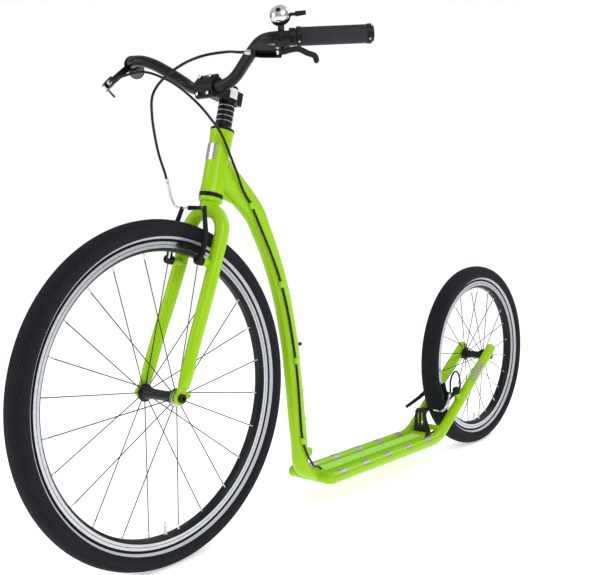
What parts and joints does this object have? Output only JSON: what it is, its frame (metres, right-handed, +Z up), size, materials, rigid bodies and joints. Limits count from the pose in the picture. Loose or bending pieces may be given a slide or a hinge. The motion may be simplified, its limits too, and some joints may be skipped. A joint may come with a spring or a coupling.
{
  "type": "kick bike",
  "caption": "Footbike with a large front wheel, a smaller rear wheel, a low narrow deck, a steered fork, a riser handlebar, rim brakes and a bell.",
  "frame": {"origin": "on the ground, midway along the overall length and between the handlebar ends", "axes": "+X forwards, the way it rolls; +Y to the rider's left; +Z up"},
  "size_m": [1.73, 0.6542, 1.0212],
  "materials": {
    "frame_paint": "bright lime green gloss paint",
    "black_paint": "semi-gloss black",
    "silver_metal": "bright silver",
    "bell_chrome": "polished chrome",
    "rim_black": "black anodised with machined brake tracks",
    "tyre": "black with a silver side stripe",
    "grip_rubber": "matt dark grey",
    "brake_rubber": "matt black",
    "black_plastic": "matt black",
    "cable_housing": "smooth black plastic sleeve"
  },
  "bodies": {
    "frame": {"head_tube": "frame_paint", "headset_lower_cup": "black_paint", "headset_upper_cup": "black_paint", "head_badge": "silver_metal", "main_tube": "frame_paint", "head_gusset": "frame_paint", "front_crossbar": "frame_paint", "deck_rail_left": "frame_paint", "deck_rail_right": "frame_paint", "deck_beam": "frame_paint", "rear_bridge": "frame_paint", "heel_guard": "black_plastic", "rear_axle": "black_paint", "rear_cable_frame_run": "cable_housing"},
    "steering": {"fork_blade_left": "frame_paint", "fork_blade_right": "frame_paint", "steerer_tube": "black_paint", "headset_spacer_1": "black_paint", "headset_spacer_2": "black_paint", "headset_spacer_3": "black_paint", "headset_spacer_4": "black_paint", "headset_spacer_5": "black_paint", "stem_body": "black_paint", "stem_faceplate": "black_paint", "stem_cap": "black_paint", "handlebar": "black_paint", "grip_left": "grip_rubber", "grip_right": "grip_rubber", "lever_clamp_left": "black_paint", "lever_clamp_right": "black_paint", "cable_adjuster_left": "silver_metal", "cable_adjuster_right": "silver_metal", "front_axle": "black_paint", "bell_base": "black_plastic", "bell_dome": "bell_chrome", "front_cable": "cable_housing", "rear_cable_bar_run": "cable_housing"},
    "front_wheel": {"front_tyre": "tyre", "front_rim": "rim_black", "front_hub_spokes": "black_paint"},
    "rear_wheel": {"rear_tyre": "tyre", "rear_rim": "rim_black", "rear_hub_spokes": "black_paint"},
    "brake_lever_left": {"brake_lever_left": "black_paint"},
    "brake_lever_right": {"brake_lever_right": "black_paint"},
    "bell_trigger": {"bell_trigger": "black_plastic"},
    "front_brake_left": {"front_brake_arm_left": "black_paint", "front_brake_pad_left": "brake_rubber"},
    "front_brake_right": {"front_brake_arm_right": "black_paint", "front_brake_pad_right": "brake_rubber", "front_noodle": "silver_metal", "front_cable_boot": "brake_rubber"},
    "rear_brake_left": {"rear_brake_arm_left": "black_paint", "rear_brake_pad_left": "brake_rubber", "rear_noodle": "silver_metal", "rear_cable_boot": "brake_rubber", "rear_cable_loop": "cable_housing"},
    "rear_brake_right": {"rear_brake_arm_right": "black_paint", "rear_brake_pad_right": "brake_rubber"}
  },
  "joints": [
    {"name": "steering", "type": "hinge", "parent": "frame", "child": "steering", "pos_m": [0.39094, 0, 0.69224], "axis": [-0.279, 0, 0.9603], "range_deg": [-75, 75], "deforming": ["rear_cable_bar_run"]},
    {"name": "front_wheel_spin", "type": "hinge", "parent": "steering", "child": "front_wheel", "pos_m": [0.539, 0, 0.326], "axis": [0, 1, 0], "continuous": true},
    {"name": "rear_wheel_spin", "type": "hinge", "parent": "frame", "child": "rear_wheel", "pos_m": [-0.619, 0, 0.246], "axis": [0, 1, 0], "continuous": true},
    {"name": "brake_lever_left_pull", "type": "hinge", "parent": "steering", "child": "brake_lever_left", "pos_m": [0.44579, 0.227, 0.93204], "axis": [0.4424, 0.3217, 0.8371], "range_deg": [0, 22], "stiffness_Nm_per_rad": 1, "springref_deg": -17.19},
    {"name": "brake_lever_right_pull", "type": "hinge", "parent": "steering", "child": "brake_lever_right", "pos_m": [0.45025, -0.227, 0.91668], "axis": [-0.5432, 0.3795, -0.7489], "range_deg": [0, 22], "stiffness_Nm_per_rad": 1, "springref_deg": -17.19},
    {"name": "front_brake_left_squeeze", "type": "hinge", "parent": "steering", "child": "front_brake_left", "pos_m": [0.4673, 0.041, 0.5728], "axis": [0.9603, 0, 0.279], "range_deg": [0, 5], "stiffness_Nm_per_rad": 1, "springref_deg": -11.46},
    {"name": "front_brake_right_squeeze", "type": "hinge", "parent": "steering", "child": "front_brake_right", "pos_m": [0.4673, -0.041, 0.5728], "axis": [-0.9603, 0, -0.279], "range_deg": [0, 5], "stiffness_Nm_per_rad": 1, "springref_deg": -11.46, "deforming": ["front_cable", "front_cable_boot"]},
    {"name": "rear_brake_left_squeeze", "type": "hinge", "parent": "frame", "child": "rear_brake_left", "pos_m": [-0.45355, 0.041, 0.17453], "axis": [-0.3502, 0, -0.9367], "range_deg": [0, 5], "stiffness_Nm_per_rad": 1, "springref_deg": -11.46, "deforming": ["rear_cable_loop", "rear_cable_boot"]},
    {"name": "rear_brake_right_squeeze", "type": "hinge", "parent": "frame", "child": "rear_brake_right", "pos_m": [-0.45355, -0.041, 0.17453], "axis": [0.3502, 0, 0.9367], "range_deg": [0, 5], "stiffness_Nm_per_rad": 1, "springref_deg": -11.46},
    {"name": "bell_trigger_push", "type": "hinge", "parent": "steering", "child": "bell_trigger", "pos_m": [0.40355, 0.197, 1.00374], "axis": [-0.7853, -0.4118, -0.4624], "range_deg": [0, 25], "stiffness_Nm_per_rad": 0.5, "springref_deg": -11.46}
  ],
  "couplings": [
    {"joint": "front_brake_left_squeeze", "follows": "brake_lever_left_pull", "ratio": 0.22727},
    {"joint": "front_brake_right_squeeze", "follows": "brake_lever_left_pull", "ratio": 0.22727},
    {"joint": "rear_brake_left_squeeze", "follows": "brake_lever_right_pull", "ratio": 0.22727},
    {"joint": "rear_brake_right_squeeze", "follows": "brake_lever_right_pull", "ratio": 0.22727}
  ]
}
